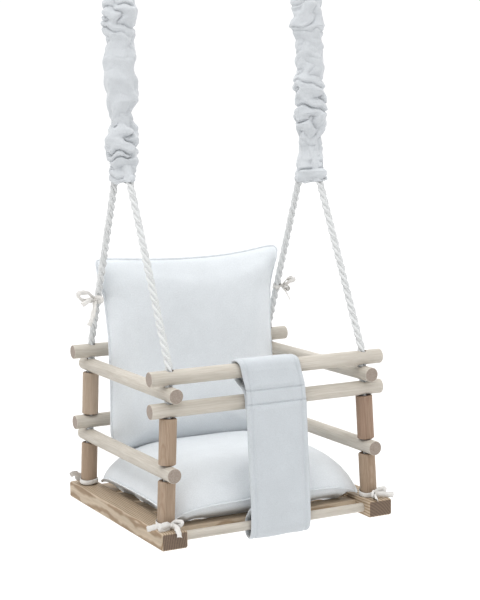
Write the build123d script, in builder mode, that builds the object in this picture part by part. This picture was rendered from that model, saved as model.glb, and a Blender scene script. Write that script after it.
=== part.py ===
from build123d import *

import os
from math import atan, copysign, cos, pi, radians, sin

os.makedirs("parts", exist_ok=True)

# Toddler bucket swing of dowels, spacers and rope.  Millimetres, +Z up, the front of the seat
# towards -Y; "left" is -X and "right" is +X, as seen by someone in front of the swing.
# The origin is at the middle of the seat's footprint, level with the lowest point of the strap.

# --- Driving dimensions: base ---
BASE_Z = 10.0  # underside of the side boards, above the hanging loop of the strap
BOARD_LENGTH = 396.0
BOARD_WIDTH = 45.0
BOARD_THICKNESS = 28.0
BOARD_X = 189.0  # centre line of each board
BOARD_ROUND = 4.0
SLAT_THICKNESS = 10.0
SLAT_RISE = 12.0  # slat underside above the board's underside
SLAT_WIDTH = 60.0
SLAT_CENTRES = (-87.0, -10.0, 67.0, 144.0)
FRONT_SLAT_WIDTH = 28.0
FRONT_SLAT_CENTRE = -141.0
MORTISE_DEPTH = 12.0
DOWEL_DIAMETER = 15.0
DOWEL_Y = -176.0

# --- Driving dimensions: rails, spacers and posts ---
RAIL_DIAMETER = 24.0
CROSS_RAIL_LENGTH = 423.0  # rails that run left to right
SIDE_RAIL_LENGTH = 381.0  # rails that run front to back
POST_Y = 162.0  # rope holes, front and back of the middle
SPACER_DIAMETER = 28.0
SPACER_GAP = 75.0  # room between the pieces above and below a spacer
SPACER_CLEARANCE = 0.6  # at each end of a spacer
RAIL_CLEARANCE = 1.5  # between crossing rails, which rest loosely on the rope
POST_LEAN = 11.0 / 225.5  # the posts lean in: run over rise
END_ROUND = 1.5

# --- Driving dimensions: ropes, rings and sleeves ---
ROPE_DIAMETER = 12.0
ROPE_HOLE = 14.0
GROOVE_WIDTH = 13.6
ROPE_IN_GROOVE_Z = BASE_Z + 7.0
HANG_Y = 6.0  # the rings hang above the seat's centre of mass
PAIR_SPACING = 12.6  # between the two strands inside the whipping
WHIPPING_Z = (626.0, 676.0)
WHIPPING_WALL = 3.0
RING_BAR = 8.0
RING_INNER = 40.0
RING_BAR_Z = 905.0  # centre of the ring's lowest bar
RING_SADDLE = RING_BAR / 2 + ROPE_DIAMETER / 2 + 0.4
SLEEVE_Z = (567.0, 640.0, 885.0)
SLEEVE_WALL = 2.0

# --- Driving dimensions: soft pieces ---
FABRIC = 2.5  # cushion cover, as drawn
SEAT_SEAM_Z = 60.0
SEAT_SIZE = (366.0, 311.0)
SEAT_CENTRE_Y = -4.5
SEAT_SECTIONS = ((-27.0, 24.0), (0.0, 0.0), (32.0, 26.0), (54.0, 66.0))  # height, inset
BACK_MIDDLE = (0.0, 121.0, 262.0)
BACK_LEAN = 4.0  # degrees
BACK_SECTIONS = ((-25.0, 30.0), (-10.0, 6.0), (0.0, 0.0), (10.0, 6.0), (27.0, 34.0))
STRAP_WIDTH = 108.0
STRAP_THICKNESS = 6.0
TIE_WIDTH = 9.0
TIE_THICKNESS = 1.6

# --- Worked-out heights ---
RAIL_RADIUS = RAIL_DIAMETER / 2
BOARD_TOP = BASE_Z + BOARD_THICKNESS
BOARD_MIDDLE = BASE_Z + BOARD_THICKNESS / 2
RAIL_STEP = RAIL_DIAMETER + RAIL_CLEARANCE
SIDE_LOW_Z = BOARD_TOP + SPACER_GAP + RAIL_RADIUS
BACK_LOW_Z = SIDE_LOW_Z + RAIL_STEP
FRONT_LOW_Z = SIDE_LOW_Z + RAIL_RADIUS + SPACER_GAP + RAIL_RADIUS
SIDE_HIGH_Z = FRONT_LOW_Z + RAIL_STEP
CROSS_HIGH_Z = SIDE_HIGH_Z + RAIL_STEP
RAIL_TOP = CROSS_HIGH_Z + RAIL_RADIUS
SIDES = (("left", -1), ("right", 1))
ENDS = (("front", -1), ("back", 1))


def post_x(z):
    """Distance of a post's centre line from the middle plane at height z."""
    return BOARD_X + (BOARD_MIDDLE - z) * POST_LEAN


def post_plane(side, end, z):
    """A plane across a post, whose normal runs up the post."""
    origin = (side * post_x(z), end * POST_Y, z)
    return Plane(origin=origin, x_dir=(0, 1, 0), z_dir=(-side * POST_LEAN, 0, 1))


def save(piece, label):
    """Name a finished piece and write it."""
    piece.part.label = label
    export_step(piece.part, f"parts/{label}.step")
    return piece.part


def drill_posts(posts, z, height=60.0):
    """Cut the rope holes of a rail at the given posts."""
    for side, end in posts:
        with Locations(post_plane(side, end, z).location):
            Cylinder(ROPE_HOLE / 2, height, mode=Mode.SUBTRACT)


# --- Ropes: each is one length that hangs in its ring, runs down the back post, along the
# groove under the board and up the front post, and ends where it began, in the whipping ---
def rope_route(side):
    """Corner points of a rope's centre line, and the bend radius at each corner."""
    half = PAIR_SPACING / 2
    low, high = WHIPPING_Z
    butt = (low + high) / 2
    x_top = side * post_x(RAIL_TOP + 3)
    x_low = side * post_x(ROPE_IN_GROOVE_Z)
    saddle_top = RING_BAR_Z + RING_SADDLE
    points = [
        (x_top, HANG_Y - half, butt + 0.1),
        (x_top, HANG_Y - half, high + 4),
        (x_top, HANG_Y - RING_SADDLE, RING_BAR_Z - 60),
        (x_top, HANG_Y - RING_SADDLE, saddle_top),
        (x_top, HANG_Y + RING_SADDLE, saddle_top),
        (x_top, HANG_Y + RING_SADDLE, RING_BAR_Z - 60),
        (x_top, HANG_Y + half, high + 4),
        (x_top, HANG_Y + half, low),
        (x_top, POST_Y, RAIL_TOP + 3),
        (x_low, POST_Y, ROPE_IN_GROOVE_Z),
        (x_low, -POST_Y, ROPE_IN_GROOVE_Z),
        (x_top, -POST_Y, RAIL_TOP + 3),
        (x_top, HANG_Y - half, low),
        (x_top, HANG_Y - half, butt - 0.1),
    ]
    bend = 3 * ROPE_DIAMETER
    saddle = RING_SADDLE - 0.1
    groove = 14.0
    radii = [bend, bend, saddle, saddle, bend, bend, bend, bend, groove, groove, bend, bend]
    return [Vector(*p) for p in points], radii


for side_name, side in SIDES:
    rope_points, rope_radii = rope_route(side)
    with BuildPart() as rope:
        with BuildLine() as rope_line:
            FilletPolyline(*rope_points, radius=rope_radii)
        with BuildSketch(Plane(origin=rope_line.line @ 0, z_dir=rope_line.line % 0)):
            Circle(ROPE_DIAMETER / 2)
        sweep()
    save(rope, f"rope_{side_name}")
    rope_length = sum(edge.length for edge in rope_line.edges())
    section = pi * ROPE_DIAMETER**2 / 4
    print(f"rope_{side_name}: length {rope_length:.1f}, radii {rope_radii}")
    print(f"  volume {rope.part.volume:.0f}, section x length {section * rope_length:.0f}")

# --- Hanging rings, and the whippings that bind each pair of strands ---
HANG_X = post_x(RAIL_TOP + 3)
RING_MAJOR = RING_INNER / 2 + RING_BAR / 2
for side_name, side in SIDES:
    ring_centre = (side * HANG_X, HANG_Y, RING_BAR_Z + RING_MAJOR)
    with BuildPart() as ring:
        with Locations(Location(ring_centre, (90, 0, 0))):
            Torus(RING_MAJOR, RING_BAR / 2)
    save(ring, f"hanging_ring_{side_name}")

    strand_room = ROPE_DIAMETER + 0.6
    with BuildPart() as whipping:
        with BuildSketch(Plane.XY.offset(WHIPPING_Z[0] + 6)):
            with Locations((side * HANG_X, HANG_Y)):
                SlotOverall(
                    PAIR_SPACING + strand_room + 2 * WHIPPING_WALL,
                    strand_room + 2 * WHIPPING_WALL,
                    rotation=90,
                )
                SlotOverall(
                    PAIR_SPACING + strand_room, strand_room, rotation=90, mode=Mode.SUBTRACT
                )
        extrude(amount=WHIPPING_Z[1] - WHIPPING_Z[0] - 6)
    save(whipping, f"rope_whipping_{side_name}")

# --- Fabric sleeves over the upper ropes ---
SLEEVE_SECTIONS = ((16.0, 47.0), (27.0, 27.0), (27.0, 27.0))
for side_name, side in SIDES:
    with BuildPart() as sleeve:
        for wall, mode in ((0.0, Mode.ADD), (SLEEVE_WALL, Mode.SUBTRACT)):
            for height, (half_x, half_y) in zip(SLEEVE_Z, SLEEVE_SECTIONS):
                with BuildSketch(Plane.XY.offset(height)):
                    with Locations((side * HANG_X, HANG_Y)):
                        Ellipse(half_x - wall, half_y - wall)
            loft(ruled=True, mode=mode)
    save(sleeve, f"rope_sleeve_{side_name}")

# --- Side boards: long planks with slat mortises, dowel sockets, rope holes and a rope groove ---
INNER_EDGE = BOARD_X - BOARD_WIDTH / 2
SLATS = [(FRONT_SLAT_CENTRE, FRONT_SLAT_WIDTH)] + [(y, SLAT_WIDTH) for y in SLAT_CENTRES]
SLAT_Z = BASE_Z + SLAT_RISE + SLAT_THICKNESS / 2
GROOVE_X = post_x(ROPE_IN_GROOVE_Z)
for side_name, side in SIDES:
    channel = [
        Vector(side * post_x(BOARD_TOP + 20), POST_Y, BOARD_TOP + 20),
        Vector(side * GROOVE_X, POST_Y, ROPE_IN_GROOVE_Z),
        Vector(side * GROOVE_X, -POST_Y, ROPE_IN_GROOVE_Z),
        Vector(side * post_x(BOARD_TOP + 20), -POST_Y, BOARD_TOP + 20),
    ]
    with BuildPart() as board:
        with BuildSketch(Plane.XY.offset(BASE_Z)):
            with Locations((side * BOARD_X, 0)):
                Rectangle(BOARD_WIDTH, BOARD_LENGTH)
        extrude(amount=BOARD_THICKNESS)
        fillet(board.edges(), BOARD_ROUND)
        with BuildLine() as channel_line:
            FilletPolyline(*channel, radius=14.0)
        with BuildSketch(Plane(origin=channel_line.line @ 0, z_dir=channel_line.line % 0)):
            Circle(GROOVE_WIDTH / 2)
        sweep(mode=Mode.SUBTRACT)
        with Locations((side * GROOVE_X, 0, BASE_Z + 3)):
            Box(GROOVE_WIDTH, 2 * POST_Y, 8, mode=Mode.SUBTRACT)
        drill_posts(((side, -1), (side, 1)), BOARD_TOP, height=20)
        for slat_y, slat_width in SLATS:
            with Locations((side * (INNER_EDGE + MORTISE_DEPTH / 2), slat_y, SLAT_Z)):
                Box(MORTISE_DEPTH, slat_width, SLAT_THICKNESS, mode=Mode.SUBTRACT)
        with Locations(Location((side * (INNER_EDGE + 6), DOWEL_Y, BOARD_MIDDLE), (0, 90, 0))):
            Cylinder(DOWEL_DIAMETER / 2, MORTISE_DEPTH, mode=Mode.SUBTRACT)
    save(board, f"side_board_{side_name}")

# --- Slats and the front dowel between the boards ---
TENON = MORTISE_DEPTH - 0.5
SPAN = 2 * (INNER_EDGE + TENON)
for number, (slat_y, slat_width) in enumerate(SLATS, start=1):
    with BuildPart() as slat:
        with Locations((0, slat_y, SLAT_Z)):
            Box(SPAN, slat_width - 0.2, SLAT_THICKNESS - 0.2)
        fillet(slat.edges().filter_by(Axis.X), 2.0)
    save(slat, f"seat_slat_{number}")

with BuildPart() as front_dowel:
    with Locations(Location((0, DOWEL_Y, BOARD_MIDDLE), (0, 90, 0))):
        Cylinder(DOWEL_DIAMETER / 2 - 0.05, SPAN)
    chamfer(front_dowel.edges().filter_by(GeomType.CIRCLE), 1.0)
save(front_dowel, "front_dowel")

# --- Rails: round bars drilled for the rope near both ends ---
CROSS_RAILS = (
    ("front_top_rail", -1, CROSS_HIGH_Z),
    ("front_low_rail", -1, FRONT_LOW_Z),
    ("back_top_rail", 1, CROSS_HIGH_Z),
    ("back_low_rail", 1, BACK_LOW_Z),
)
for rail_name, end, height in CROSS_RAILS:
    with BuildPart() as rail:
        with Locations(Location((0, end * POST_Y, height), (0, 90, 0))):
            Cylinder(RAIL_RADIUS, CROSS_RAIL_LENGTH)
        fillet(rail.edges().filter_by(GeomType.CIRCLE), END_ROUND)
        drill_posts(((-1, end), (1, end)), height)
    save(rail, rail_name)

for side_name, side in SIDES:
    for level, height in (("low", SIDE_LOW_Z), ("top", SIDE_HIGH_Z)):
        with BuildPart() as rail:
            with Locations(Location((side * post_x(height), 0, height), (90, 0, 0))):
                Cylinder(RAIL_RADIUS, SIDE_RAIL_LENGTH)
            fillet(rail.edges().filter_by(GeomType.CIRCLE), END_ROUND)
            drill_posts(((side, -1), (side, 1)), height)
        save(rail, f"side_{level}_rail_{side_name}")

# --- Spacers: turned tubes on the posts, two at each corner ---
SPACER_LENGTH = SPACER_GAP - 2 * SPACER_CLEARANCE
SPACER_BOTTOMS = {
    "front": (BOARD_TOP, SIDE_LOW_Z + RAIL_RADIUS),
    "back": (BOARD_TOP, BACK_LOW_Z + RAIL_RADIUS),
}
for side_name, side in SIDES:
    for end_name, end in ENDS:
        for level, bottom in zip(("low", "high"), SPACER_BOTTOMS[end_name]):
            middle = bottom + SPACER_GAP / 2
            with BuildPart() as spacer:
                with Locations(post_plane(side, end, middle).location):
                    Cylinder(SPACER_DIAMETER / 2, SPACER_LENGTH)
                    Cylinder(ROPE_HOLE / 2, SPACER_LENGTH, mode=Mode.SUBTRACT)
                outer_rims = spacer.edges().filter_by(GeomType.CIRCLE).group_by(SortBy.RADIUS)[-1]
                chamfer(outer_rims, END_ROUND)
            save(spacer, f"spacer_{end_name}_{level}_{side_name}")


# --- Cushions: a sewn cover around a pad of wadding ---
def pillow_sections(plane, outline, sections, wall=0.0):
    """Faces to loft a pillow through: its outline, drawn in by each section's inset."""
    faces = []
    for height, inset in sections:
        shift = wall if height < 0 else -wall if height > 0 else 0.0
        drawn_in = inset + wall
        points = [(x - copysign(drawn_in, x), y - copysign(drawn_in, y)) for x, y in outline]
        with BuildSketch(plane.offset(height + shift)) as section:
            with BuildLine():
                Polyline(*points, close=True)
            make_face()
        faces.append(section.sketch.face())
    return faces


def corner_cut_outline(half_x, half_y, cut):
    """A rectangle with its four corners cut off."""
    return (
        (-half_x + cut, -half_y),
        (half_x - cut, -half_y),
        (half_x, -half_y + cut),
        (half_x, half_y - cut),
        (half_x - cut, half_y),
        (-half_x + cut, half_y),
        (-half_x, half_y - cut),
        (-half_x, -half_y + cut),
    )


seat_plane = Plane(origin=(0, SEAT_CENTRE_Y, SEAT_SEAM_Z))
seat_outline = corner_cut_outline(SEAT_SIZE[0] / 2, SEAT_SIZE[1] / 2, 22)
with BuildPart() as seat_cover:
    loft(pillow_sections(seat_plane, seat_outline, SEAT_SECTIONS), ruled=True)
    hollow = pillow_sections(seat_plane, seat_outline, SEAT_SECTIONS, FABRIC)
    loft(hollow, ruled=True, mode=Mode.SUBTRACT)
save(seat_cover, "seat_cushion_cover")

with BuildPart() as seat_wadding:
    with Locations((0, SEAT_CENTRE_Y, SEAT_SEAM_Z + 4)):
        Box(SEAT_SIZE[0] - 106, SEAT_SIZE[1] - 70, 10)
    fillet(seat_wadding.edges(), 4)
save(seat_wadding, "seat_cushion_wadding")

lean = radians(BACK_LEAN)
back_plane = Plane(origin=BACK_MIDDLE, x_dir=(1, 0, 0), z_dir=(0, -cos(lean), sin(lean)))
# The lower edge stands on the slope of the seat cushion
BACK_OUTLINE_HALF = ((158.0, -160.0), (168.0, -148.0), (168.0, -90.0), (163.5, -12.0))
BACK_TOP_HALF = ((163.5, 105.0), (184.0, 166.0), (172.0, 176.0))
back_half = BACK_OUTLINE_HALF + BACK_TOP_HALF
back_outline = back_half + tuple((-x, y) for x, y in reversed(back_half))
with BuildPart() as back_cover:
    loft(pillow_sections(back_plane, back_outline, BACK_SECTIONS), ruled=True)
    hollow = pillow_sections(back_plane, back_outline, BACK_SECTIONS, FABRIC)
    loft(hollow, ruled=True, mode=Mode.SUBTRACT)
save(back_cover, "back_cushion_cover")

with BuildPart() as back_wadding:
    with Locations(back_plane.location):
        Box(230, 270, 5)
    fillet(back_wadding.edges(), 2)
save(back_wadding, "back_cushion_wadding")

# --- Crotch strap: a padded band, looped over the top front rail and under the front dowel ---
FRONT = -POST_Y
LAYER = RAIL_RADIUS + 0.4 + STRAP_THICKNESS / 2  # band centre line from the rail's centre
inner_y = FRONT - LAYER
outer_y = inner_y - STRAP_THICKNESS + 1.0  # two layers, sewn tight together
dowel_front_y = DOWEL_Y - DOWEL_DIAMETER / 2 - 1.2 - STRAP_THICKNESS / 2
return_y = DOWEL_Y + DOWEL_DIAMETER / 2 + 0.5 + STRAP_THICKNESS / 2
loop_back_y = FRONT + LAYER + 0.2
loop_front_y = inner_y - 0.2
loop_top_z = CROSS_HIGH_Z + LAYER + 0.2
panel_top = (outer_y - 0.3, FRONT_LOW_Z)
panel_low = (dowel_front_y, BOARD_MIDDLE + 10)
panel_middle = ((panel_top[0] + panel_low[0]) / 2, (panel_top[1] + panel_low[1]) / 2)
bottom_z = STRAP_THICKNESS / 2
LAP = 0.4  # stretches of the band overlap by this much where they meet
# The band in four stretches, each a list of corner points (y, z) with the bend radii
strap_stretches = (
    (
        (inner_y, FRONT_LOW_Z - 10),
        (inner_y, FRONT_LOW_Z + 19),
        (loop_back_y, CROSS_HIGH_Z - 16),
        (loop_back_y, loop_top_z),
        (FRONT - LAP, loop_top_z),
    ),
    (
        (FRONT + LAP, loop_top_z),
        (loop_front_y, loop_top_z),
        (outer_y, CROSS_HIGH_Z - 25),
        panel_top,
        panel_middle,
    ),
    (
        panel_middle,
        panel_low,
        (dowel_front_y + 1, bottom_z),
        (DOWEL_Y + LAP, bottom_z),
    ),
    (
        (DOWEL_Y - LAP, bottom_z),
        (return_y + 4, bottom_z),
        (return_y, BOARD_MIDDLE + 2),
        (return_y, BOARD_MIDDLE + 14),
        (dowel_front_y + 3, BOARD_MIDDLE + 26),
    ),
)
strap_bends = ((6, 8, 15), (15, 30, 60), (40, 9), (9, 30, 6))
with BuildPart() as strap:
    with BuildSketch(Plane.YZ):
        for stretch, bends in zip(strap_stretches, strap_bends):
            with BuildLine():
                band = FilletPolyline(*stretch, radius=bends)
            trace(band, line_width=STRAP_THICKNESS)
    extrude(amount=STRAP_WIDTH / 2, both=True)
    run = panel_top[1] - panel_low[1]
    pocket_tilt = atan((panel_top[0] - panel_low[0]) / run)
    pocket_plane = Plane(
        origin=(0, *panel_middle),
        x_dir=(1, 0, 0),
        z_dir=(0, -cos(pocket_tilt), sin(pocket_tilt)),
    )
    with Locations(pocket_plane.location):
        Box(STRAP_WIDTH - 14, run - 60, 3.0, mode=Mode.SUBTRACT)
save(strap, "crotch_strap")

with BuildPart() as strap_padding:
    with Locations(pocket_plane.location):
        Box(STRAP_WIDTH - 15, run - 61, 2.8)
save(strap_padding, "crotch_strap_padding")


# --- Ties: tapes sewn to the cushions and knotted in bows round the ropes and post feet ---
def tie_bow(label, plane, hold_radius, loop_reach, tail_length, tail_drop):
    """A tape round a post or rope, with its knot, two loops and two tails.

    The plane's normal runs along the thing that is held, and its x axis points to the knot.
    """
    ring_outer = hold_radius + TIE_THICKNESS
    knot_x = ring_outer + 2.5
    with BuildPart() as tie:
        with Locations(plane.location):
            Cylinder(ring_outer, TIE_WIDTH)
            Cylinder(hold_radius, TIE_WIDTH, mode=Mode.SUBTRACT)
        with BuildSketch(plane.offset(-3.5)):
            with Locations((knot_x, 0)):
                RectangleRounded(7, 8, 2)
        extrude(amount=7)
        with BuildSketch(plane.offset(-2.0)):
            for way in (-1, 1):
                with Locations((knot_x, way * (loop_reach / 2 + 1))):
                    Ellipse(4.0, loop_reach / 2)
        extrude(amount=4)
        for way in (-1, 1):
            tail_start = plane * Location((knot_x, way * 2, -1), (0, 90 - tail_drop, way * 35))
            with Locations(tail_start * Location((0, 0, tail_length / 2))):
                Box(TIE_THICKNESS, TIE_WIDTH - 1, tail_length)
    save(tie, label)


FOOT_HOLD = SPACER_DIAMETER / 2 + 1.0
for side_name, side in SIDES:
    for end_name, end in ENDS:
        foot = Plane(
            origin=(side * post_x(BOARD_TOP + 6), end * POST_Y, BOARD_TOP + 6),
            x_dir=(0, end, 0),
            z_dir=(-side * POST_LEAN, 0, 1),
        )
        tie_bow(f"seat_tie_{end_name}_{side_name}", foot, FOOT_HOLD, 16, 16, -2)
    rope_low = Vector(side * HANG_X, POST_Y, RAIL_TOP + 3)
    rope_high = Vector(side * HANG_X, HANG_Y + PAIR_SPACING / 2, WHIPPING_Z[0])
    along = (rope_high - rope_low).normalized()
    tie_point = rope_low + along * 86
    rope_hold = Plane(origin=tie_point, x_dir=(side, 0, 0), z_dir=along)
    tie_bow(f"back_tie_{side_name}", rope_hold, ROPE_DIAMETER / 2 + 0.6, 20, 30, 60)
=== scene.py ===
from math import atan2, copysign, cos, exp, pi, radians, sin, sqrt

import bmesh
import bpy
import numpy as np
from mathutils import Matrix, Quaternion, Vector, noise


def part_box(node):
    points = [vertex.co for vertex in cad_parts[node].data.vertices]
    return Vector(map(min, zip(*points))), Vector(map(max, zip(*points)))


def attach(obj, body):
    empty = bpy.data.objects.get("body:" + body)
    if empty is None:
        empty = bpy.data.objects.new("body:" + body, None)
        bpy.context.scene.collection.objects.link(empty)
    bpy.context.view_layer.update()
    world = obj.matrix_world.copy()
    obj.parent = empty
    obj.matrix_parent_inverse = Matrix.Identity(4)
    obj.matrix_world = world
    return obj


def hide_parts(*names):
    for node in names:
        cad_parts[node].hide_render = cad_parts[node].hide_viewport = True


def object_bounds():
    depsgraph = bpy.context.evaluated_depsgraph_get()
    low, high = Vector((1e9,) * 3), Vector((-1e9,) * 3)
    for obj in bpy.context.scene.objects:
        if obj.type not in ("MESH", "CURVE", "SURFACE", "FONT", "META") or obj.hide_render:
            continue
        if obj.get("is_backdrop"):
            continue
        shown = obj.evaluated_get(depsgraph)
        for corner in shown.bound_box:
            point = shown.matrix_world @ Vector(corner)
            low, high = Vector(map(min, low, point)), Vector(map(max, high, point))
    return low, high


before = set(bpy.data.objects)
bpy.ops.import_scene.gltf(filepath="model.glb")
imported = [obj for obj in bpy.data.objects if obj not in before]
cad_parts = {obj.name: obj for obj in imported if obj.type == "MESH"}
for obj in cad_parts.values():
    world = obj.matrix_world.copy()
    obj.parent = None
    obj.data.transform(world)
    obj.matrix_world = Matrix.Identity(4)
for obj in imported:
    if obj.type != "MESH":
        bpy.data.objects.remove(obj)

# Toddler bucket swing.  Metres, +Z up, the front of the seat towards -Y, left is -X.
CAD_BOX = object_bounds()
SIDES = (("left", -1), ("right", 1))
scene = bpy.context.scene

# --- Places read from the model ---
ring_low, ring_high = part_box("hanging_ring_right")
HANG_X = (ring_low.x + ring_high.x) / 2
HANG_Y = (ring_low.y + ring_high.y) / 2
RING_BAR_Z = ring_low.z + 0.004
RAIL_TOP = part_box("back_top_rail")[1].z
BOARD_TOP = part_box("side_board_right")[1].z
POST_Y = 0.162
POST_LEAN = 11 / 225.5


def post_x(z):
    """Distance of a post's centre line from the middle plane at height z."""
    return HANG_X + (RAIL_TOP + 0.003 - z) * POST_LEAN


# --- Camera ---
CAMERA_TARGET = Vector((0.0471, 0.0252, 0.3615))
CAMERA_AZIMUTH = radians(-27.44)
CAMERA_ELEVATION = radians(7.1)
CAMERA_ROLL = radians(-0.97)
CAMERA_DISTANCE = 2.549

camera_back = Vector((
    sin(CAMERA_AZIMUTH) * cos(CAMERA_ELEVATION),
    -cos(CAMERA_AZIMUTH) * cos(CAMERA_ELEVATION),
    sin(CAMERA_ELEVATION),
))
camera = bpy.data.objects.new("camera", bpy.data.cameras.new("camera"))
camera.data.lens = 88.44
camera.data.sensor_width = 36
camera.location = CAMERA_TARGET + camera_back * CAMERA_DISTANCE
camera.rotation_mode = "QUATERNION"
level_turn = (-camera_back).to_track_quat("-Z", "Y")
camera.rotation_quaternion = level_turn @ Quaternion((0, 0, 1), CAMERA_ROLL)
scene.collection.objects.link(camera)
scene.camera = camera


# --- Materials ---
class Paint:
    """A node material: each call adds a node, wires its inputs and returns its first output."""

    def __init__(self, name, **shader_values):
        self.material = bpy.data.materials.new(name)
        self.material.use_nodes = True
        self.tree = self.material.node_tree
        self.shader = self.tree.nodes["Principled BSDF"]
        self.set(self.shader, shader_values)

    def set(self, node, values):
        for key, value in values.items():
            socket = node.inputs[key if isinstance(key, int) else key.replace("_", " ")]
            if isinstance(value, bpy.types.NodeSocket):
                self.tree.links.new(value, socket)
            else:
                socket.default_value = value

    def node(self, kind, inputs=None, output=0, **settings):
        node = self.tree.nodes.new("ShaderNode" + kind)
        for key, value in settings.items():
            setattr(node, key, value)
        self.set(node, inputs or {})
        return node.outputs[output]

    def place(self, scale, offset=(0, 0, 0), source="Object"):
        """Coordinates from the piece itself, scaled."""
        coordinates = self.node("TexCoord", output=source)
        return self.node(
            "Mapping", {"Vector": coordinates, "Scale": scale, "Location": offset}
        )

    def noise(self, vector, scale, detail=3.0, roughness=0.55, distortion=0.0):
        return self.node("TexNoise", {
            "Vector": vector, "Scale": scale, "Detail": detail,
            "Roughness": roughness, "Distortion": distortion,
        })

    def ramp(self, factor, *stops):
        node = self.tree.nodes.new("ShaderNodeValToRGB")
        elements = node.color_ramp.elements
        while len(elements) < len(stops):
            elements.new(0.5)
        for element, (position, color) in zip(elements, stops):
            element.position = position
            element.color = (*color, 1) if len(color) == 3 else color
        self.tree.links.new(factor, node.inputs[0])
        return node.outputs[0]

    def math(self, operation, a, b=0.0):
        return self.node("Math", {0: a, 1: b}, operation=operation)

    def mix(self, factor, a, b, blend_type="MIX"):
        return self.node(
            "Mix", {0: factor, 6: a, 7: b}, output=2, data_type="RGBA", blend_type=blend_type
        )

    def bump(self, height, distance, strength=1.0, normal=None):
        inputs = {"Height": height, "Distance": distance, "Strength": strength}
        if normal:
            inputs["Normal"] = normal
        return self.node("Bump", inputs)

    def finish(self, color=None, normal=None, roughness=None):
        wanted = {"Base_Color": color, "Normal": normal, "Roughness": roughness}
        self.set(self.shader, {key: value for key, value in wanted.items() if value})
        return self.material


def wood(name, axis, tones, ring_gap, ring_middle, contrast):
    """Planed or turned wood whose grain runs along an axis, with darker end grain.

    tones are the light wood, the dark lines, and the end grain.
    """
    light, dark, end = tones
    paint = Paint(name, Roughness=0.5, Specular_IOR_Level=0.35)
    along = [8.0 if i == axis else 95.0 for i in range(3)]
    fibres = [25.0 if i == axis else 900.0 for i in range(3)]
    wander = paint.noise(paint.place(along), 1.0, 2.0)
    rings = paint.node("TexWave", {
        "Vector": paint.place((1, 1, 1), [-x for x in ring_middle]),
        "Scale": 0.314 / ring_gap, "Distortion": 5.0, "Detail": 2.0, "Detail_Scale": 0.25,
    }, output=1, wave_type="RINGS", rings_direction="XYZ"[axis])
    fine = paint.noise(paint.place(fibres), 1.0, 4.0, 0.65)
    grain = paint.ramp(rings, (0.35, (0, 0, 0)), (0.95, (1, 1, 1)))
    depth = paint.math("MULTIPLY", grain, contrast)
    color = paint.mix(depth, (*light, 1), (*dark, 1))
    blotch = paint.ramp(wander, (0.3, (0.90, 0.89, 0.87)), (0.7, (1.06, 1.05, 1.04)))
    color = paint.mix(1.0, color, blotch, "MULTIPLY")
    streaks = paint.ramp(fine, (0.35, (0.90, 0.88, 0.86)), (0.62, (1.03, 1.03, 1.03)))
    color = paint.mix(1.0, color, streaks, "MULTIPLY")
    facing = paint.node("SeparateXYZ", {0: paint.node("TexCoord", output=1)}, output=axis)
    at_end = paint.ramp(paint.math("ABSOLUTE", facing), (0.75, (0, 0, 0)), (0.93, (1, 1, 1)))
    pores = paint.noise(paint.place((900, 900, 900)), 1.0, 3.0)
    end_rings = paint.mix(grain, (*end, 1), (*[x * 0.72 for x in end], 1))
    end_pores = paint.ramp(pores, (0.35, (0.82, 0.8, 0.78)), (0.65, (1.08, 1.08, 1.08)))
    end_color = paint.mix(1.0, end_rings, end_pores, "MULTIPLY")
    color = paint.mix(at_end, color, end_color)
    normal = paint.bump(fine, 0.00025, 0.5)
    rough = paint.ramp(fine, (0.3, (0.62, 0.62, 0.62)), (0.7, (0.46, 0.46, 0.46)))
    return paint.finish(color, normal, rough)


def fleece(name, tint, fuzz):
    """Brushed cotton fleece: a soft nap over a fine knit."""
    paint = Paint(name, Roughness=0.9, Sheen_Weight=0.25, Sheen_Roughness=0.5)
    nap = paint.noise(paint.place((1, 1, 1)), 620.0, 4.0, 0.7)
    knit = paint.noise(paint.place((350, 350, 1300)), 1.0, 2.0, 0.6)
    cloudy = paint.noise(paint.place((1, 1, 1)), 28.0, 2.0)
    shade = paint.ramp(cloudy, (0.3, [x * 0.965 for x in tint]), (0.7, tint))
    speck = paint.ramp(nap, (0.3, (0.93, 0.93, 0.93)), (0.6, (1.02, 1.02, 1.02)))
    color = paint.mix(1.0, shade, speck, "MULTIPLY")
    normal = paint.bump(nap, 0.0006 * fuzz, 0.5)
    normal = paint.bump(knit, 0.0003 * fuzz, 0.4, normal)
    return paint.finish(color, normal)


def woven(name, tint, period, roughness=0.85):
    """Plain-weave cotton, its threads following the piece's own length and width."""
    paint = Paint(name, Roughness=roughness, Sheen_Weight=0.15, Sheen_Roughness=0.4)
    place = paint.place((1, 1, 1), source="UV")
    threads = [
        paint.node(
            "TexWave", {"Vector": place, "Scale": 0.314 / period, "Distortion": 0.4},
            output=1, wave_type="BANDS", bands_direction=direction,
        )
        for direction in "XY"
    ]
    weave = paint.math("MAXIMUM", *threads)
    slub = paint.noise(paint.place((1, 1, 1)), 300.0, 3.0)
    color = paint.ramp(slub, (0.3, [x * 0.92 for x in tint]), (0.7, tint))
    return paint.finish(color, paint.bump(weave, 0.00015, 0.6))


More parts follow.
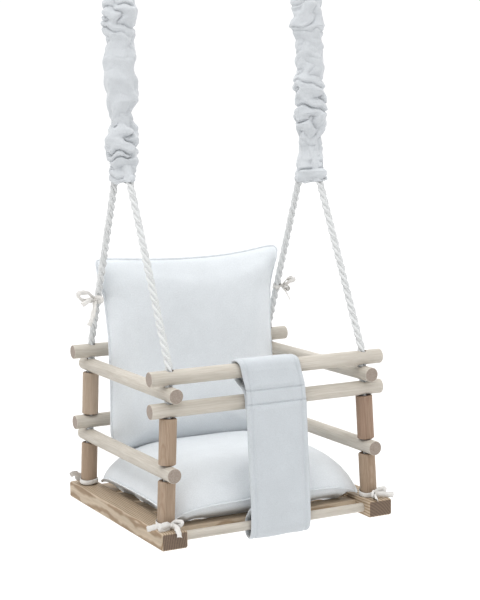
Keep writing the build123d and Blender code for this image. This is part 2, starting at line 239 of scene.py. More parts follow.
def twisted_yarn(name, tint, yarn_gap):
    """Cotton yarns lying side by side along a strand, with stray fibres, and painted shade in the
    grooves between the yarns.
    """
    paint = Paint(name, Roughness=0.88, Sheen_Weight=0.2, Sheen_Roughness=0.4)
    yarns = paint.node("TexWave", {
        "Vector": paint.place((1, 1, 1), source="UV"),
        "Scale": 0.314 / yarn_gap, "Distortion": 0.8, "Detail": 2.0,
    }, output=1, wave_type="BANDS", bands_direction="DIAGONAL")
    fibres = paint.noise(paint.place((1, 1, 1)), 1500.0, 3.0, 0.7)
    # Painted shade: the colour darkens to 0.72 of the tint in the grooves between the yarns.
    shade = paint.ramp(yarns, (0.0, [x * 0.72 for x in tint]), (0.5, tint))
    speck = paint.ramp(fibres, (0.3, (0.9, 0.9, 0.9)), (0.6, (1.03, 1.03, 1.03)))
    color = paint.mix(1.0, shade, speck, "MULTIPLY")
    normal = paint.bump(yarns, 0.0004, 0.7)
    return paint.finish(color, paint.bump(fibres, 0.0002, 0.4, normal))


def brushed_steel(name, tint):
    """Ground steel with fine scratches."""
    paint = Paint(name, Metallic=1.0, Roughness=0.3)
    scratches = paint.noise(paint.place((250, 2600, 250)), 1.0, 4.0, 0.7)
    color = paint.ramp(scratches, (0.3, [x * 0.8 for x in tint]), (0.7, tint))
    rough = paint.ramp(scratches, (0.3, (0.42, 0.42, 0.42)), (0.7, (0.24, 0.24, 0.24)))
    return paint.finish(color, paint.bump(scratches, 0.0001, 0.4), rough)


RAIL_TONES = ((0.60, 0.575, 0.53), (0.52, 0.48, 0.42), (0.44, 0.38, 0.335))
SPACER_TONES = (
    ((0.44, 0.35, 0.275), (0.34, 0.25, 0.18), (0.27, 0.20, 0.15)),
    ((0.50, 0.42, 0.345), (0.40, 0.31, 0.24), (0.30, 0.23, 0.18)),
    ((0.40, 0.30, 0.235), (0.30, 0.20, 0.15), (0.24, 0.17, 0.13)),
)
BOARD_TONES = ((0.54, 0.46, 0.365), (0.32, 0.23, 0.15), (0.25, 0.19, 0.145))
CROSS_WOOD = wood("rail_wood_cross", 0, RAIL_TONES, 0.0021, (0, 0.11, 0.31), 0.2)
SIDE_WOOD = wood("rail_wood_side", 1, RAIL_TONES, 0.0021, (0.31, 0, 0.19), 0.2)
SPACER_WOODS = [
    wood(f"spacer_wood_{k}", 2, tones, 0.0018, (0.21, 0.1, 0), 0.45)
    for k, tones in enumerate(SPACER_TONES, start=1)
]
BOARD_WOOD = wood("board_pine", 1, BOARD_TONES, 0.0042, (0.13, 0, -0.045), 0.85)
SLAT_WOOD = wood("slat_pine", 0, BOARD_TONES, 0.0042, (0, 0.02, -0.03), 0.7)
FLEECE = fleece("cushion_fleece", (0.77, 0.80, 0.825), 1.0)
# The strap and the sleeves take the cushions' fleece with a darker tint: painted shade for cloth that
# gets less light.
STRAP_FLEECE_PAINTED_SHADE = fleece("strap_fleece_painted_shade", (0.60, 0.63, 0.655), 0.8)
SLEEVE_FLEECE_PAINTED_SHADE = fleece("sleeve_fleece_painted_shade", (0.62, 0.64, 0.66), 0.6)
TAPE = woven("cotton_tape", (0.78, 0.765, 0.74), 0.0007)
ROPE_YARN = twisted_yarn("rope_yarn", (0.82, 0.83, 0.83), 0.0016)
TWINE = twisted_yarn("whipping_yarn", (0.74, 0.70, 0.60), 0.0008)
STEEL = brushed_steel("ring_steel", (0.70, 0.70, 0.71))

NODE_WOODS = (  # a later line wins
    ("seat_slat", SLAT_WOOD), ("side_board", BOARD_WOOD),
    ("spacer_front", SPACER_WOODS[0]), ("spacer_back", SPACER_WOODS[1]),
    ("spacer_front_high_right", SPACER_WOODS[2]), ("spacer_back_low", SPACER_WOODS[0]),
    ("side_low_rail", SIDE_WOOD), ("side_top_rail", SIDE_WOOD), ("front_", CROSS_WOOD),
    ("back_low_rail", CROSS_WOOD), ("back_top_rail", CROSS_WOOD), ("hanging_ring", STEEL),
)
for node_name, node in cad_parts.items():
    for start, material in NODE_WOODS:
        if node_name.startswith(start):
            node.data.materials.clear()
            node.data.materials.append(material)


# --- Mesh helpers ---
def face_outward(mesh):
    editable = bmesh.new()
    editable.from_mesh(mesh)
    bmesh.ops.recalc_face_normals(editable, faces=editable.faces)
    editable.to_mesh(mesh)
    editable.free()


def mesh_piece(name, points, faces, material, body, replaced=(), uvs=None):
    """A smooth mesh that rides on a body; uvs has one pair of metres for each point."""
    mesh = bpy.data.meshes.new(name)
    mesh.from_pydata([tuple(p) for p in points], [], faces)
    face_outward(mesh)
    mesh.polygons.foreach_set("use_smooth", [True] * len(mesh.polygons))
    mesh.materials.append(material)
    if uvs is not None:
        layer = mesh.uv_layers.new(name="UVMap")
        for loop in mesh.loops:
            layer.data[loop.index].uv = uvs[loop.vertex_index]
    mesh.update()
    piece = bpy.data.objects.new(name, mesh)
    scene.collection.objects.link(piece)
    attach(piece, body)
    if replaced:
        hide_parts(*replaced)
    return piece


class Shape:
    """Points, faces and UVs gathered for one mesh."""

    def __init__(self):
        self.points, self.faces, self.uvs = [], [], []

    def loft(self, rings, closed=False, capped=True, uvs=None):
        """Joins closed rings of points, each as long as the next, into a skin."""
        first = len(self.points)
        count, around = len(rings), len(rings[0])
        for k, ring in enumerate(rings):
            self.points.extend(ring)
            self.uvs.extend(uvs[k] if uvs else [(j * 0.001, k * 0.001) for j in range(around)])
        for k in range(count if closed else count - 1):
            here, there = first + k * around, first + (k + 1) % count * around
            for j in range(around):
                i = (j + 1) % around
                self.faces.append((here + j, here + i, there + i, there + j))
        if capped and not closed:
            self.faces.append(tuple(reversed(range(first, first + around))))
            last = first + (count - 1) * around
            self.faces.append(tuple(range(last, last + around)))

    def piece(self, name, material, body, slot, replaced=()):
        return mesh_piece(
            name, self.points, self.faces, material, body, replaced, self.uvs
        )


def smooth_step(x):
    """0 up to 0, 1 from 1, and an even ramp between."""
    x = min(max(x, 0.0), 1.0)
    return x * x * (3 - 2 * x)


def even(line, step, closed=False):
    """Points a step apart along a line of points."""
    points = np.array([tuple(p) for p in line])
    if closed:
        points = np.vstack([points, points[:1]])
    lengths = np.linalg.norm(np.diff(points, axis=0), axis=1)
    reached = np.concatenate([[0], np.cumsum(lengths)])
    count = max(2, round(reached[-1] / step))
    wanted = np.linspace(0, reached[-1], count + 1)
    spread = [np.interp(wanted, reached, points[:, i]) for i in range(3)]
    found = [Vector(p) for p in zip(*spread)]
    return found[:-1] if closed else found


def soften(points, rounds=3, closed=False):
    """Rounds the corners of a line by cutting them, again and again."""
    points = [Vector(p) for p in points]
    for _ in range(rounds):
        pairs = list(zip(points, points[1:] + points[:1] if closed else points[1:]))
        cut = [q for a, b in pairs for q in (a.lerp(b, 0.25), a.lerp(b, 0.75))]
        points = cut if closed else [points[0]] + cut[1:-1] + [points[-1]]
    return points


def frames(line, side, closed=False):
    """At each point of a line: the point, its direction, a sideways and an upward vector."""
    count, found = len(line), []
    for k, p in enumerate(line):
        before = line[k - 1] if k or closed else p
        after = line[(k + 1) % count] if k < count - 1 or closed else p
        along = (after - before).normalized()
        wanted = side[k] if isinstance(side, list) else side
        across = (wanted - along * wanted.dot(along)).normalized()
        found.append((p, along, across, along.cross(across)))
    return found


def tube(shape, line, radius, sides=8, closed=False, side=Vector((1, 0, 0))):
    """A round skin along a line."""
    rings = [
        [p + (a * cos(t) + b * sin(t)) * radius
         for t in (2 * pi * j / sides for j in range(sides))]
        for p, _, a, b in frames(line, side, closed)
    ]
    shape.loft(rings, closed)


# --- Ropes: one spline each, and a three-strand skin that follows it ---
ROPE_LAY = 0.046  # length in which a strand goes once round
PAIR_HALF = 0.0063
RING_SADDLE = 0.0104
WHIPPING_Z = (0.626, 0.676)
GROOVE_Z = 0.017


def rope_route(side):
    """The corner points of part.py's rope, in metres, with one more beside each tight bend."""
    top, low = side * HANG_X, side * post_x(GROOVE_Z)
    inner_back, inner_front = HANG_Y + PAIR_HALF, HANG_Y - PAIR_HALF
    saddle_back, saddle_front = HANG_Y + RING_SADDLE, HANG_Y - RING_SADDLE
    return [
        (top, inner_front, 0.6511),
        (top, inner_front, 0.680),
        (top, saddle_front, RING_BAR_Z - 0.060),
        (top, saddle_front, RING_BAR_Z - 0.010),
        (top, saddle_front, RING_BAR_Z + 0.0104),
        (top, saddle_back, RING_BAR_Z + 0.0104),
        (top, saddle_back, RING_BAR_Z - 0.010),
        (top, saddle_back, RING_BAR_Z - 0.060),
        (top, inner_back, 0.680),
        (top, inner_back, 0.626),
        (top, inner_back + 0.0103, 0.6043),
        (top, POST_Y - 0.0103, 0.3117),
        (top, POST_Y, 0.290),
        (top + side * 0.0012, POST_Y, 0.266),
        (low - side * 0.0013, POST_Y, 0.044),
        (low, POST_Y, GROOVE_Z),
        (low, POST_Y - 0.028, GROOVE_Z),
        (low, -POST_Y + 0.028, GROOVE_Z),
        (low, -POST_Y, GROOVE_Z),
        (low - side * 0.0013, -POST_Y, 0.044),
        (top + side * 0.0012, -POST_Y, 0.266),
        (top, -POST_Y, 0.290),
        (top, -POST_Y + 0.0111, 0.3114),
        (top, inner_front - 0.0111, 0.6046),
        (top, inner_front, 0.626),
        (top, inner_front, 0.6509),
    ]


def spline_line(name, points):
    """The points that a NURBS spline through a route gives."""
    curve = bpy.data.curves.new(name, "CURVE")
    curve.dimensions = "3D"
    curve.resolution_u = 16
    spline = curve.splines.new("NURBS")
    spline.points.add(len(points) - 1)
    for control, place in zip(spline.points, points):
        control.co = (*place, 1)
    spline.order_u = 3
    spline.use_endpoint_u = True
    carrier = bpy.data.objects.new(name, curve)
    scene.collection.objects.link(carrier)
    line = [v.co.copy() for v in bpy.data.meshes.new_from_object(carrier).vertices]
    bpy.data.objects.remove(carrier)
    return line


def lobed_radius(angle, strand=0.0031, reach=0.0034):
    """Outer radius of three round strands laid together, at an angle round the rope."""
    off = (angle + pi / 3) % (2 * pi / 3) - pi / 3
    return reach * cos(off) + sqrt(max(strand**2 - (reach * sin(off)) ** 2, 0))


ROPE_SIDES = 24
for side_name, side in SIDES:
    rope_line = even(spline_line(f"rope_route_{side_name}", rope_route(side)), 0.003)
    rope = Shape()
    rings, uvs = [], []
    for k, (p, _, across, up) in enumerate(frames(rope_line, Vector((1, 0, 0)))):
        twist = -2 * pi * k * 0.003 / ROPE_LAY
        ring, ring_uvs = [], []
        for j in range(ROPE_SIDES):
            angle = 2 * pi * j / ROPE_SIDES
            reach = lobed_radius(angle)
            ring.append(p + (across * cos(angle + twist) + up * sin(angle + twist)) * reach)
            ring_uvs.append((angle * 0.006, k * 0.003))
        rings.append(ring)
        uvs.append(ring_uvs)
    rope.loft(rings, uvs=uvs)
    piece = rope.piece(
        f"rope_strands_{side_name}", ROPE_YARN, "seat", "cotton_rope", [f"rope_{side_name}"]
    )
    tuple(rope_line[0])
    [tuple(p) for p in rope_line]

    # The twine wound round both strands
    turns, twine_radius = 20, 0.0011
    winding, start, stop = [], WHIPPING_Z[0] + 0.008, WHIPPING_Z[1] - 0.002
    for k in range(turns * 24):
        angle = 2 * pi * k / 24
        straight = PAIR_HALF if sin(angle) > 0 else -PAIR_HALF
        winding.append(Vector((
            side * HANG_X + 0.0078 * cos(angle),
            HANG_Y + straight + 0.0078 * sin(angle),
            start + (stop - start) * k / (turns * 24),
        )))
    twine = Shape()
    tube(twine, winding, twine_radius, 6, side=Vector((0, 0, 1)))
    twine.piece(
        f"whipping_twine_{side_name}", TWINE, "seat", "whipping_twine",
        [f"rope_whipping_{side_name}"],
    )


# --- Sleeves: gathered tubes of fleece ---
# height, reach to the camera's left and right of the rope, and how scrunched the cloth is
SLEEVE_OUTLINES = {
    "left": (
        (0.572, 20, 20, 0.3), (0.584, 20, 24, 0.4), (0.600, 19, 21, 0.5), (0.625, 25, 27, 1.0),
        (0.645, 24, 29, 1.0), (0.658, 20, 27, 0.9), (0.668, 13, 19, 0.5), (0.690, 18, 20, 0.3),
        (0.704, 22, 29, 0.1), (0.728, 24, 28, 0.1), (0.750, 26, 27, 0.1), (0.776, 24, 28, 0.1),
        (0.800, 16, 25, 0.3), (0.830, 25, 27, 0.7), (0.850, 24, 31, 0.9), (0.868, 18, 26, 0.6),
        (0.885, 22, 22, 0.4),
    ),
    "right": (
        (0.562, 19, 27, 0.5), (0.580, 21, 28, 0.9), (0.592, 20, 25, 0.5), (0.612, 17, 23, 0.2),
        (0.640, 17, 23, 0.3), (0.656, 21, 29, 0.9), (0.680, 21, 31, 1.0), (0.705, 22, 30, 1.0),
        (0.722, 25, 30, 0.9), (0.735, 26, 25, 0.5), (0.755, 21, 29, 0.3), (0.785, 21, 28, 0.2),
        (0.806, 19, 22, 0.3), (0.826, 29, 27, 0.5), (0.846, 24, 24, 0.5), (0.866, 24, 27, 0.4),
        (0.885, 22, 24, 0.3),
    ),
}
SLEEVE_STEP = 0.0011
SLEEVE_SIDES = 96
SLEEVE_CLOTH_THICKNESS = 0.0012
CAMERA_RIGHT = Vector((cos(CAMERA_AZIMUTH), sin(CAMERA_AZIMUTH), 0))


def folded(angle, z, seed):
    """Height of the cloth's folds: plump rolls with sharp creases that wander and merge, 0 to 1."""
    wander = noise.noise(Vector((cos(angle), sin(angle), z * 18 - seed)))
    spot = Vector((cos(angle) * 0.75, sin(angle) * 0.75, (z + 0.010 * wander) * 74 + seed))
    return min(abs(noise.noise(spot)) / 0.34, 1) ** 0.6


def rope_reach(angle, z):
    """How far the two ropes, or the whipping round them, reach from between them."""
    spread = PAIR_HALF + max(WHIPPING_Z[0] - z, 0) * 0.45 + 0.004 * smooth_step((z - 0.84) / 0.05)
    strand = 0.0093 if WHIPPING_Z[0] < z < WHIPPING_Z[1] + 0.004 else 0.0068
    across, along = abs(cos(angle)) / strand, abs(sin(angle)) / (spread + strand)
    return (across**4 + along**4) ** -0.25


def round_ropes(p, z, side):
    """A point of the sleeve, kept outside the ropes it covers."""
    x, y = p.x - side * HANG_X, p.y - HANG_Y
    need = rope_reach(atan2(y, x), z) + SLEEVE_CLOTH_THICKNESS + 0.0015
    scale = max(need / max(sqrt(x * x + y * y), 1e-6), 1.0)
    return Vector((side * HANG_X + x * scale, HANG_Y + y * scale, p.z))


for side_name, side in SIDES:
    outline = SLEEVE_OUTLINES[side_name]
    heights = [row[0] for row in outline]
    rings, uvs = [], []
    count = round((heights[-1] - heights[0]) / SLEEVE_STEP)
    for k in range(count + 1):
        z = heights[0] + (heights[-1] - heights[0]) * k / count
        low, high, scrunch = [np.interp(z, heights, [row[i] for row in outline]) for i in (1, 2, 3)]
        half, shift = (low + high) / 2000, (high - low) / 2000
        flare = max(0.0, 1 - (z - heights[0]) / 0.060)
        end = min(1.0, (k + 2) / 5, (count - k + 2) / 5)
        ring, ring_uvs = [], []
        for j in range(SLEEVE_SIDES):
            angle = 2 * pi * j / SLEEVE_SIDES
            fold = folded(angle, z, 3.1 * side)
            slant = z + 0.012 * cos(angle - 0.8)
            dents = noise.noise(Vector((cos(angle) * 1.3, sin(angle) * 1.3, slant * 42 - side * 9)))
            fine = noise.noise(Vector((cos(angle) * 4, sin(angle) * 4, z * 160 + side * 5)))
            reach = half - 0.0010 + scrunch * 0.0105 * (fold - 0.62) + dents * 0.0065
            reach = (reach + fine * 0.0007 * (0.4 + scrunch)) * end + 0.005 * (1 - end)
            wide = 1 + 0.75 * flare * abs(sin(angle)) ** 1.5
            lift = 0.0028 * scrunch * noise.noise(Vector((angle, z * 55, side * 4.0)))
            ring.append(round_ropes(Vector((
                side * HANG_X + CAMERA_RIGHT.x * shift + reach * cos(angle),
                HANG_Y + CAMERA_RIGHT.y * shift + reach * wide * sin(angle),
                z + lift - 0.006 * flare * cos(2 * angle) * 0.4,
            )), z, side))
            ring_uvs.append((angle * half, z))
        rings.append(ring)
        uvs.append(ring_uvs)
    # The cloth's inner face, joined to the outer one at both hems
    inner = []
    for ring in rings:
        middle = sum(ring, Vector()) / len(ring)
        inner.append([p + (middle - p).normalized() * SLEEVE_CLOTH_THICKNESS for p in ring])
    sleeve = Shape()
    sleeve.loft([*rings, *reversed(inner)], closed=True, uvs=[*uvs, *reversed(uvs)])
    piece = sleeve.piece(
        f"gathered_sleeve_{side_name}", SLEEVE_FLEECE_PAINTED_SHADE, "seat", "fleece",
        [f"rope_sleeve_{side_name}"],
    )


# --- Cushions ---
def dome(u, v, power, sharpness):
    """A pillow's bulge, 1 in the middle and 0 on its edges."""
    return (max(1 - abs(u) ** power, 0) * max(1 - abs(v) ** power, 0)) ** sharpness


def pillow(place, half_width, edge_up, crown, base, cells=(64, 60)):
    """A sewn pillow's two skins as one closed grid, with its seam's points and each point's slack.

    place turns local (across, up, out) into a point; half_width gives the side edge at each
    height, edge_up the height of a point of the grid, crown and base the two skins' bulge.
    Slack is how freely a point may move when the pillow is filled: least on the seam.
    """
    across, up = cells
    points, faces, slack, number = [], [], [], {}
    for skin in (1, -1):
        for i in range(across + 1):
            for j in range(up + 1):
                u, v = sin(pi / 2 * (2 * i / across - 1)), sin(pi / 2 * (2 * j / up - 1))
                on_seam = i in (0, across) or j in (0, up)
                if skin < 0 and on_seam:
                    number[skin, i, j] = number[1, i, j]
                    continue
                bulge = crown(u, v) if skin > 0 else -base(u, v)
                number[skin, i, j] = len(points)
                points.append(place(half_width(v) * u, edge_up(u, v), 0 if on_seam else bulge))
                slack.append(0.2 + 0.8 * dome(u, v, 6, 0.5))
    for skin in (1, -1):
        for i in range(across):
            for j in range(up):
                corners = [number[skin, a, b] for a, b in
                           ((i, j), (i + 1, j), (i + 1, j + 1), (i, j + 1))]
                faces.append(tuple(corners if skin > 0 else reversed(corners)))
    seam = [number[1, i, 0] for i in range(across)]
    seam += [number[1, across, j] for j in range(up)]
    seam += [number[1, i, up] for i in range(across, 0, -1)]
    seam += [number[1, 0, j] for j in range(up, 0, -1)]
    return points, faces, seam, np.array(slack)[:, None]


def inflate(piece, slack, pressure, cap, spare):
    """Fills a piece like a pillow by cloth simulation, and keeps each point's move within a cap."""
    start = np.array([v.co for v in piece.data.vertices])
    cloth = piece.modifiers.new("Cloth", "CLOTH")
    cloth.settings.quality = 6
    cloth.settings.mass = 0.25
    cloth.settings.tension_stiffness = 18
    cloth.settings.compression_stiffness = 18
    cloth.settings.shear_stiffness = 6
    cloth.settings.bending_stiffness = 0.6
    cloth.settings.shrink_min = -spare
    cloth.settings.use_pressure = True
    cloth.settings.uniform_pressure_force = pressure
    cloth.settings.effector_weights.gravity = 0
    cloth.point_cache.frame_end = 20
    for moment in range(1, 21):
        scene.frame_set(moment)
    settled = piece.evaluated_get(bpy.context.evaluated_depsgraph_get()).to_mesh()
    moved = np.array([v.co for v in settled.vertices]) - start
    piece.modifiers.remove(cloth)
    scene.frame_set(1)
    size = np.linalg.norm(moved, axis=1, keepdims=True)
    moved *= slack * cap * np.tanh(size / cap) / np.maximum(size, 1e-9)
    piece.data.vertices.foreach_set("co", (start + moved).ravel())
    piece.data.update()


def subdivide(piece):
    """One smooth subdivision, applied."""
    modifier = piece.modifiers.new("Subdivision", "SUBSURF")
    modifier.levels = modifier.render_levels = 1
    finer = bpy.data.meshes.new_from_object(
        piece.evaluated_get(bpy.context.evaluated_depsgraph_get())
    )
    piece.modifiers.clear()
    piece.data = finer


def seam_ridge(name, piece, seam, outward, body):
    """The joined edges of the cover: a thin lip that puckers along the seam."""
    line = even([piece.data.vertices[i].co for i in seam], 0.0015, closed=True)
    middle = sum(line, Vector()) / len(line)
    ridge, rings = Shape(), []
    count = len(line)
    for k, (p, along, _, _) in enumerate(frames(line, outward, closed=True)):
        away = along.cross(outward).normalized()
        if away.dot(p - middle) < 0:
            away = -away
        pucker = sin(2 * pi * k * round(count / 11) / count)
        width, thick = 0.0030 + 0.0002 * pucker, 0.0014 + 0.0002 * pucker
        ring = []
        for j in range(8):
            t = 2 * pi * j / 8
            ring.append(
                p + away * (0.0008 + width * cos(t) / 1.4)
                + outward * (thick * sin(t) + 0.0003 * pucker)
            )
        rings.append(ring)
    ridge.loft(rings, closed=True)
    ridge.piece(name, piece.data.materials[0], body, "fleece")


# Seat cushion
SEAT_LOW, SEAT_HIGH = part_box("seat_cushion_cover")
SEAT_SEAM_Z = 0.060
SEAT_MIDDLE_Y = (SEAT_LOW.y + SEAT_HIGH.y) / 2
SEAT_HALF = ((SEAT_HIGH.x - SEAT_LOW.x) / 2, (SEAT_HIGH.y - SEAT_LOW.y) / 2)


SEAT_CORNER_IN = (0.011, 0.008)  # how far a corner is drawn in, clear of the post
SEAT_CORNER_DROOP = 0.018


def seat_place(x, y, out):
    """A point of the seat cushion, its corners drawn in and drooping."""
    corner = (abs(x) / SEAT_HALF[0] * abs(y) / SEAT_HALF[1]) ** 5
    x -= copysign(SEAT_CORNER_IN[0] * corner, x)
    y -= copysign(SEAT_CORNER_IN[1] * corner, y)
    return Vector((x, SEAT_MIDDLE_Y + y, SEAT_SEAM_Z + out - SEAT_CORNER_DROOP * corner))


def seat_base(u, v):
    """The underside, drawn up where it lies over the side boards."""
    over_board = smooth_step((abs(u) - 0.84) / 0.06)
    return min(0.026, 0.034 * dome(u, v, 5, 0.4)) * (1 - 0.4 * over_board)


seat_points, seat_faces, seat_seam, seat_slack = pillow(
    seat_place,
    lambda v: SEAT_HALF[0] - 0.001 - 0.005 * (1 - v * v),
    lambda u, v: (SEAT_HALF[1] - 0.001 - 0.003 * (1 - u * u)) * v,
    lambda u, v: 0.052 * dome(u, v, 3.6, 0.46),
    seat_base,
)
seat_cushion = mesh_piece(
    "seat_cushion", seat_points, seat_faces, FLEECE, "seat",
    ["seat_cushion_cover", "seat_cushion_wadding"],
)
inflate(seat_cushion, seat_slack, 4.0, 0.010, 0.012)
seam_ridge("seat_cushion_seam", seat_cushion, seat_seam, Vector((0, 0, 1)), "seat")
subdivide(seat_cushion)

# Back cushion
BACK_MIDDLE = Vector((0, 0.121, 0.262))
BACK_LEAN = radians(4)
BACK_OUT = Vector((0, -cos(BACK_LEAN), sin(BACK_LEAN)))
BACK_UP = Vector((0, sin(BACK_LEAN), cos(BACK_LEAN)))
BACK_SIDE_HEIGHTS = (-1.0, -0.8, -0.3, 0.2, 0.6, 0.85, 1.0)
BACK_SIDE_REACH = (0.160, 0.167, 0.163, 0.162, 0.166, 0.179, 0.188)


def back_edge_up(u, v):
    """Height of a point: the top edge dips between its corners, the right one the higher."""
    ears = 0.004 + 0.008 * smooth_step(u)
    lift = ears * smooth_step((v - 0.5) / 0.5) * u * u
    return 0.008 + 0.168 * v - 0.008 * (1 - u * u) * smooth_step((v + 0.2) / 1.2) + lift


def back_place(x, y, out):
    """A point of the back cushion, its two top corners rounded into ears."""
    ear = (abs(x) / 0.185) ** 9 * (max(y, 0) / 0.18) ** 9
    x += 0.004 * smooth_step((y - 0.125) / 0.05) - copysign(0.008 * ear, x)
    y -= 0.007 * ear
    return BACK_MIDDLE + Vector((x, 0, 0)) + BACK_UP * y + BACK_OUT * out


back_points, back_faces, back_seam, back_slack = pillow(
    back_place,
    lambda v: float(np.interp(v, BACK_SIDE_HEIGHTS, BACK_SIDE_REACH)) - 0.003,
    back_edge_up,
    lambda u, v: 0.028 * dome(u, v, 6, 0.5),
    lambda u, v: 0.019 * dome(u, v, 6, 0.5),
)
back_cushion = mesh_piece(
    "back_cushion", back_points, back_faces, FLEECE, "seat",
    ["back_cushion_cover", "back_cushion_wadding"],
)
inflate(back_cushion, back_slack, 4.0, 0.008, 0.012)
seam_ridge("back_cushion_seam", back_cushion, back_seam, BACK_OUT, "seat")
subdivide(back_cushion)


# --- Crotch strap: a padded band over the top front rail and under the front dowel ---
STRAP_HALF = 0.054
STITCH_INSET = 0.0085
STRAP_STEP = 0.0012
# The band's centre line as (y, z) in millimetres, from the sewn-down end over the rail,
# down the front, under the dowel and back up behind it
STRAP_PATH = (
    (-177.4, 214), (-177.4, 243), (-150, 255), (-146.4, 266), (-146.4, 290.6), (-177.6, 290.6),
    (-178.6, 270), (-182.4, 250), (-182.7, 224), (-184.6, 150), (-187.7, 60), (-187.7, 3.4),
    (-163, 3.4), (-164, 34), (-183.5, 52),
)
SEAM_HEIGHTS = (0.244, 0.221)


def strap_middle(z):
    """The band hangs a little askew."""
    return float(np.interp(z, (0.0, 0.06, 0.225, 0.245, 0.29), (5, 5, 2, 1, -7))) / 1000


strap_line = soften([(0, y / 1000, z / 1000) for y, z in STRAP_PATH], 3)
strap_line = even(strap_line, STRAP_STEP)
strap = Shape()
rings, uvs = [], []
STRAP_ACROSS = 56
travelled = 0.0
for k, (p, along, across, out) in enumerate(frames(strap_line, Vector((1, 0, 0)))):
    travelled += STRAP_STEP
    on_front = p.y < -0.176 and k > len(strap_line) * 0.2
    panel = smooth_step((0.222 - p.z) / 0.012) * smooth_step((p.z - 0.030) / 0.03)
    flap = smooth_step((p.z - 0.2455) / 0.006) * smooth_step((0.285 - p.z) / 0.012)
    puff = 0.0022 * max(panel, 0.8 * flap) if on_front else 0.0
    crease = sum(exp(-(((p.z - z) / 0.0016) ** 2)) for z in SEAM_HEIGHTS) if on_front else 0
    outline, outline_uvs = [], []
    for layer in (1, -1):
        for j in range(STRAP_ACROSS):
            u = -cos(pi * j / STRAP_ACROSS) * layer
            x = u * STRAP_HALF
            x *= 1 + (0.018 if on_front and p.z < 0.224 else 0.0) * abs(u)
            edge = sqrt(max(1 - abs(u) ** 14, 0))
            inset = (STRAP_HALF - abs(x) - STITCH_INSET) / 0.0015
            groove = exp(-inset * inset)
            bow = 0.0009 * noise.noise(Vector((x * 30, travelled * 22, layer)))
            thick = 0.0029 * edge * (1 - 0.6 * groove) - 0.0022 * crease * (layer > 0)
            swell = puff * smooth_step((STRAP_HALF - abs(x) - STITCH_INSET) / 0.012)
            reach = (thick + (swell if layer > 0 else 0)) * layer + bow
            outline.append(p + Vector((strap_middle(p.z) + x, 0, 0)) + out * reach)
            outline_uvs.append((x, travelled))
    rings.append(outline)
    uvs.append(outline_uvs)
strap.loft(rings, uvs=uvs)
strap_band = strap.piece(
    "crotch_strap_band", STRAP_FLEECE_PAINTED_SHADE, "strap", "fleece",
    ["crotch_strap", "crotch_strap_padding"],
)


# --- Ties ---
def tape(shape, points, facing, width, thickness=0.0007, taper=0.0, wave=0.0):
    """A flat tape along a line, its face turned towards facing."""
    line = even(soften(points, 3), 0.0012)
    count = len(line)
    rings, uvs = [], []
    for k, (p, along, up, side) in enumerate(frames(line, facing)):
        half = width / 2 * (1 - taper * (k / count)) * (1 - 0.08 * sin(k * 0.9))
        roll = wave * sin(k * 0.35)
        ring, ring_uvs = [], []
        for j in range(12):
            t = 2 * pi * j / 12
            x, y = cos(t) * half, sin(t) * thickness / 2
            curl = 0.0009 * cos(2 * pi * x / width) * wave
            ring.append(p + side * x + up * (y + curl + roll * 0.0006 * x / half))
            ring_uvs.append((x, k * 0.0012))
        rings.append(ring)
        uvs.append(ring_uvs)
    shape.loft(rings, uvs=uvs)


def knot(shape, middle, axis, size):
    """A pulled-tight wrap of tape."""
    side = axis.orthogonal().normalized()
    up = axis.cross(side)
    rings = []
    for k in range(9):
        t = pi * k / 8
        ring = []
        for j in range(16):
            a = 2 * pi * j / 16
            lump = 1 + 0.13 * sin(3 * a + t * 2) + 0.08 * cos(5 * a)
            reach = (0.25 + 0.75 * sin(t)) * size * lump
            ring.append(middle - axis * cos(t) * size * 0.8 + (side * cos(a) + up * sin(a)) * reach)
        rings.append(ring)
    shape.loft(rings)


def tie_bow(name, centre, along, toward, hold, loops, tails, width, replaced):
    """A tape round a post or rope, tied in a bow on the toward side.

    loops and tails are lists of points from the knot, in metres, in the model's directions.
    """
    along, toward = along.normalized(), toward.normalized()
    cross = along.cross(toward)
    bow = Shape()
    wrap = []
    for k in range(32):
        t = 2 * pi * k / 32
        wrap.append(centre + (toward * cos(t) + cross * sin(t)) * hold + along * 0.0015 * sin(2 * t))
    sides = [along] * len(wrap)
    rings = []
    for p, _, a, b in frames(wrap, sides, closed=True):
        rings.append([
            p + a * cos(2 * pi * j / 8) * width * 0.42 + b * sin(2 * pi * j / 8) * 0.0005
            for j in range(8)
        ])
    bow.loft(rings, closed=True)
    middle = centre + toward * (hold + 0.0028)
    knot(bow, middle, cross, 0.0036)
    for reach in loops:
        reach = Vector(reach)
        wide = along.cross(reach).cross(reach).normalized() * reach.length * 0.28
        tape(
            bow,
            [middle, middle + reach * 0.45 + wide, middle + reach + wide * 0.5,
             middle + reach * 1.05 - wide * 0.3, middle + reach * 0.5 - wide, middle],
            toward, width * 0.8, wave=0.6,
        )
    for points in tails:
        tape(bow, [middle] + [middle + Vector(p) for p in points], toward, width, taper=0.1, wave=1.0)
    bow.piece(name, TAPE, "seat", "cotton_tape", [replaced])


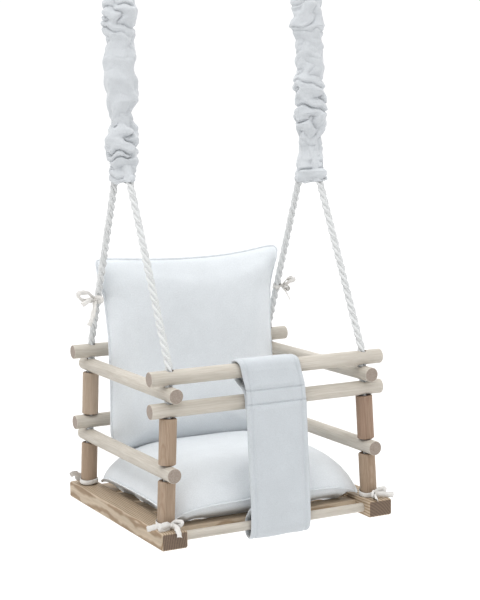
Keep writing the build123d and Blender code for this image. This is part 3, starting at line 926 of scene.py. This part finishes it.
TAPE_WIDTH = 0.010
FOOT_Z = BOARD_TOP + 0.006
FOOT_HOLD = 0.0158
FOOT_BOWS = {
    "front_left": (
        [(-0.020, -0.006, 0.001), (0.013, -0.012, 0.006)],
        [[(-0.012, -0.006, 0.003), (-0.026, -0.004, 0.004), (-0.040, 0.002, 0.000)],
         [(0.004, -0.012, 0.001), (0.004, -0.022, -0.006), (0.003, -0.026, -0.012)]],
    ),
    "front_right": (
        [(-0.010, -0.012, 0.004), (0.016, -0.006, 0.008)],
        [[(0.008, -0.006, 0.001), (0.020, -0.010, -0.001), (0.030, -0.012, -0.002)],
         [(-0.004, -0.012, 0.000), (-0.008, -0.020, -0.004)]],
    ),
    "back_left": (
        [(-0.014, 0.004, 0.004), (0.012, 0.010, 0.004)],
        [[(-0.012, 0.000, 0.006), (-0.022, -0.004, 0.014), (-0.030, -0.006, 0.010)],
         [(0.004, 0.012, 0.001), (0.006, 0.020, -0.002)]],
    ),
    "back_right": (
        [(0.014, 0.004, 0.004), (-0.012, 0.010, 0.004)],
        [[(0.012, 0.006, 0.004), (0.024, 0.010, 0.000)],
         [(-0.004, 0.012, 0.001), (-0.008, 0.020, -0.002)]],
    ),
}
for side_name, side in SIDES:
    for end_name, end in (("front", -1), ("back", 1)):
        loops, tails = FOOT_BOWS[f"{end_name}_{side_name}"]
        tie_bow(
            f"seat_bow_{end_name}_{side_name}",
            Vector((side * post_x(FOOT_Z), end * POST_Y, FOOT_Z)),
            Vector((-side * POST_LEAN, 0, 1)), Vector((0, end, 0)), FOOT_HOLD, loops, tails,
            TAPE_WIDTH, f"seat_tie_{end_name}_{side_name}",
        )
    rope_low = Vector((side * HANG_X, POST_Y, RAIL_TOP + 0.003))
    rope_high = Vector((side * HANG_X, HANG_Y + PAIR_HALF, WHIPPING_Z[0]))
    rope_way = (rope_high - rope_low).normalized()
    if side < 0:
        loops = [(-0.030, -0.004, 0.012), (0.008, -0.014, 0.002)]
        tails = [[(-0.004, -0.010, -0.010), (-0.010, -0.014, -0.028), (-0.016, -0.012, -0.042)],
                 [(-0.012, -0.008, 0.002), (-0.026, -0.008, -0.006)]]
    else:
        loops = [(0.020, -0.004, 0.012), (0.010, -0.012, -0.004)]
        tails = [[(0.004, -0.010, -0.012), (0.010, -0.012, -0.026)],
                 [(0.010, -0.006, 0.006), (0.026, -0.004, 0.010)]]
    tie_bow(
        f"back_bow_{side_name}", rope_low + rope_way * 0.086, rope_way, Vector((side, -0.6, 0)),
        0.0068, loops, tails, TAPE_WIDTH, f"back_tie_{side_name}",
    )


# --- Floor and light ---
def backdrop():
    """A pale floor well below the hanging seat."""
    paint = Paint("pale_floor", Roughness=0.9)
    tone = paint.noise(paint.place((1, 1, 1)), 3.0, 2.0)
    shade = paint.ramp(tone, (0.3, (0.88, 0.88, 0.88)), (0.7, (0.90, 0.90, 0.90)))
    material = paint.finish(shade)
    mesh = bpy.data.meshes.new("floor")
    reach, level = 30.0, -0.45
    mesh.from_pydata(
        [(-reach, -reach, level), (reach, -reach, level), (reach, reach, level), (-reach, reach, level)],
        [], [(0, 1, 2, 3)],
    )
    mesh.materials.append(material)
    floor = bpy.data.objects.new("floor", mesh)
    scene.collection.objects.link(floor)
    floor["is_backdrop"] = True


def softbox(name, place, aim, size, power):
    light = bpy.data.lights.new(name, "AREA")
    light.shape = "DISK"
    light.size = size
    light.energy = power
    lamp = bpy.data.objects.new(name, light)
    lamp.location = place
    lamp.rotation_mode = "QUATERNION"
    lamp.rotation_quaternion = (Vector(aim) - Vector(place)).to_track_quat("-Z", "Y")
    scene.collection.objects.link(lamp)


backdrop()
softbox("key_light", (-1.2, -1.0, 2.8), (0, 0, 0.3), 1.4, 16)
softbox("fill_light", (2.4, -1.2, 1.2), (0, 0, 0.3), 1.8, 2)
scene.world = bpy.data.worlds.new("studio")
scene.world.use_nodes = True
sky = scene.world.node_tree.nodes


def sky_part(direction, start, stop, low, high):
    """Brightness of the studio that changes from low to high along a direction."""
    way = sky.new("ShaderNodeTexCoord").outputs["Generated"]
    dot = sky.new("ShaderNodeVectorMath")
    dot.operation = "DOT_PRODUCT"
    dot.inputs[1].default_value = direction
    tones = sky.new("ShaderNodeMapRange")
    limits = (("From Min", start), ("From Max", stop), ("To Min", low), ("To Max", high))
    for key, value in limits:
        tones.inputs[key].default_value = value
    scene.world.node_tree.links.new(way, dot.inputs[0])
    scene.world.node_tree.links.new(dot.outputs["Value"], tones.inputs["Value"])
    return tones.outputs[0]


strength = sky.new("ShaderNodeMath")
strength.operation = "ADD"
around = sky_part((0.46, 0.88, 0), -0.3, 0.7, 0.62, 1.05)
above = sky_part((0, 0, 1), 0.2, 1.0, 0.0, 0.9)
scene.world.node_tree.links.new(around, strength.inputs[0])
scene.world.node_tree.links.new(above, strength.inputs[1])
scene.world.node_tree.links.new(strength.outputs[0], sky["Background"].inputs["Strength"])
sky["Background"].inputs["Color"].default_value = (1, 1, 1, 1)
scene.view_settings.view_transform = "Standard"
scene.view_settings.gamma = 0.82

boxes = [[list(corner) for corner in box] for box in (CAD_BOX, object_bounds())]
